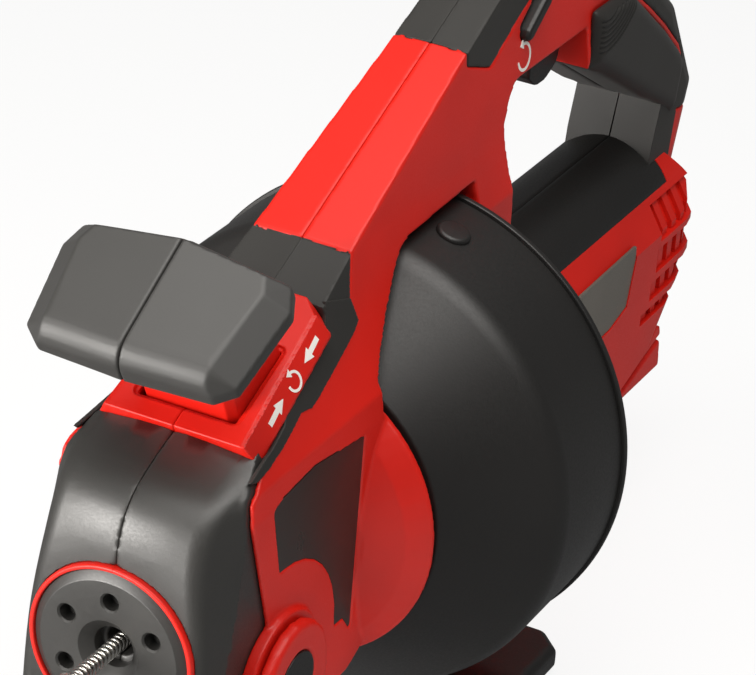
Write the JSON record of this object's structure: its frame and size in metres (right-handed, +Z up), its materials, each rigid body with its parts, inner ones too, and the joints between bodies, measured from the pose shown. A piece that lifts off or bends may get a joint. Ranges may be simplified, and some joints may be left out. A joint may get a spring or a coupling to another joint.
{
  "type": "cordless drain cleaner",
  "caption": "Hand-held battery drain cleaner with a closed cable drum, a spring cable through its nose, a feed paddle on the snout and a D handle over the motor.",
  "frame": {"origin": "centre of the whole tool's footprint, on the floor that it stands on", "axes": "+Y from the nose towards the handle along the drum axis, +X to the tool's right, +Z up"},
  "size_m": [0.2, 0.5007, 0.3031],
  "materials": {
    "red_shell": "satin moulded",
    "charcoal_shell": "satin moulded",
    "soft_grip": "matt soft overmould",
    "black_plastic": "fine textured",
    "label_panel": "smooth film",
    "steel": "bright",
    "fan_plastic": "moulded",
    "hub_alloy": "turned",
    "contacts": "bright"
  },
  "bodies": {
    "tool": {"body_right": "red_shell", "body_left": "red_shell", "feed_plate_right": "red_shell", "feed_plate_left": "red_shell", "housing_right": "red_shell", "housing_left": "red_shell", "nose_ring": "red_shell", "battery_shoe": "red_shell", "snout_right": "charcoal_shell", "snout_left": "charcoal_shell", "nose_disc": "charcoal_shell", "stalk_cover": "charcoal_shell", "side_plates": "charcoal_shell", "spine_insert_right": "soft_grip", "spine_insert_left": "soft_grip", "neck_cap_right": "soft_grip", "neck_cap_left": "soft_grip", "grip_pad_right": "soft_grip", "grip_pad_left": "soft_grip", "back_pad": "soft_grip", "foot_treads": "soft_grip", "top_cover_right": "black_plastic", "top_cover_left": "black_plastic", "pivot_pins": "black_plastic", "rear_foot": "black_plastic", "switch_module": "black_plastic", "roller_cradle": "black_plastic", "cheek_panels": "label_panel", "nose_screws": "steel", "support_axles": "steel", "motor_can": "steel", "ring_gear": "steel", "front_bearing": "steel", "rear_bearing": "steel", "battery_terminals": "contacts"},
    "drum": {"drum_shell": "black_plastic", "drum_cover": "black_plastic", "drum_hub": "hub_alloy", "cable_coil": "steel", "cable_lead": "steel", "spring_cable": "steel", "cable_tip": "steel", "planet_carrier": "steel"},
    "motor_rotor": {"motor_shaft": "steel", "cooling_fan": "fan_plastic"},
    "feed_lever": {"paddle_right": "soft_grip", "paddle_left": "soft_grip", "feed_stem": "red_shell", "pressure_axle": "steel"},
    "trigger": {"trigger": "black_plastic"},
    "direction_slider": {"direction_slider": "black_plastic"},
    "front_leg": {"front_leg": "red_shell", "leg_tread": "soft_grip"},
    "planet_1": {"planet_gear_1": "steel"},
    "planet_2": {"planet_gear_2": "steel"},
    "planet_3": {"planet_gear_3": "steel"},
    "pressure_roller": {"pressure_roller": "steel"},
    "support_roller_right": {"support_roller_right": "steel"},
    "support_roller_left": {"support_roller_left": "steel"}
  },
  "joints": [
    {"name": "drum_spin", "type": "hinge", "parent": "tool", "child": "drum", "pos_m": [0, -0.03185, 0.118], "axis": [0, 1, 0], "continuous": true},
    {"name": "motor_spin", "type": "hinge", "parent": "tool", "child": "motor_rotor", "pos_m": [0, 0.10815, 0.118], "axis": [0, 1, 0], "continuous": true},
    {"name": "feed_press", "type": "slide", "parent": "tool", "child": "feed_lever", "axis": [0, 0.4226, -0.9063], "range_m": [0, 0.009], "stiffness_N_per_m": 500, "springref_m": -0.012},
    {"name": "trigger_pull", "type": "slide", "parent": "tool", "child": "trigger", "axis": [0, 0, 1], "range_m": [0, 0.008], "stiffness_N_per_m": 400, "springref_m": -0.006},
    {"name": "direction_slide", "type": "slide", "parent": "tool", "child": "direction_slider", "axis": [1, 0, 0], "range_m": [-0.004, 0.004]},
    {"name": "leg_pivot", "type": "hinge", "parent": "tool", "child": "front_leg", "pos_m": [0, -0.16285, 0.094], "axis": [-1, 0, 0], "range_deg": [0, 75]},
    {"name": "planet_1_spin", "type": "hinge", "parent": "drum", "child": "planet_1", "pos_m": [0, 0.06015, 0.133], "axis": [0, 1, 0], "continuous": true},
    {"name": "planet_2_spin", "type": "hinge", "parent": "drum", "child": "planet_2", "pos_m": [-0.01299, 0.06015, 0.1105], "axis": [0, 1, 0], "continuous": true},
    {"name": "planet_3_spin", "type": "hinge", "parent": "drum", "child": "planet_3", "pos_m": [0.01299, 0.06015, 0.1105], "axis": [0, 1, 0], "continuous": true},
    {"name": "pressure_roller_spin", "type": "hinge", "parent": "feed_lever", "child": "pressure_roller", "pos_m": [0, -0.12912, 0.13976], "axis": [0.342, 0.9397, 0], "continuous": true},
    {"name": "support_roller_right_spin", "type": "hinge", "parent": "tool", "child": "support_roller_right", "pos_m": [0.01178, -0.12532, 0.1112], "axis": [-0.171, 0.9397, -0.2962], "continuous": true},
    {"name": "support_roller_left_spin", "type": "hinge", "parent": "tool", "child": "support_roller_left", "pos_m": [-0.01178, -0.12532, 0.1112], "axis": [-0.171, 0.9397, 0.2962], "continuous": true}
  ],
  "couplings": [
    {"joint": "motor_spin", "follows": "drum_spin", "ratio": 5},
    {"joint": "planet_1_spin", "follows": "drum_spin", "ratio": -2.6667},
    {"joint": "planet_2_spin", "follows": "drum_spin", "ratio": -2.6667},
    {"joint": "planet_3_spin", "follows": "drum_spin", "ratio": -2.6667}
  ]
}
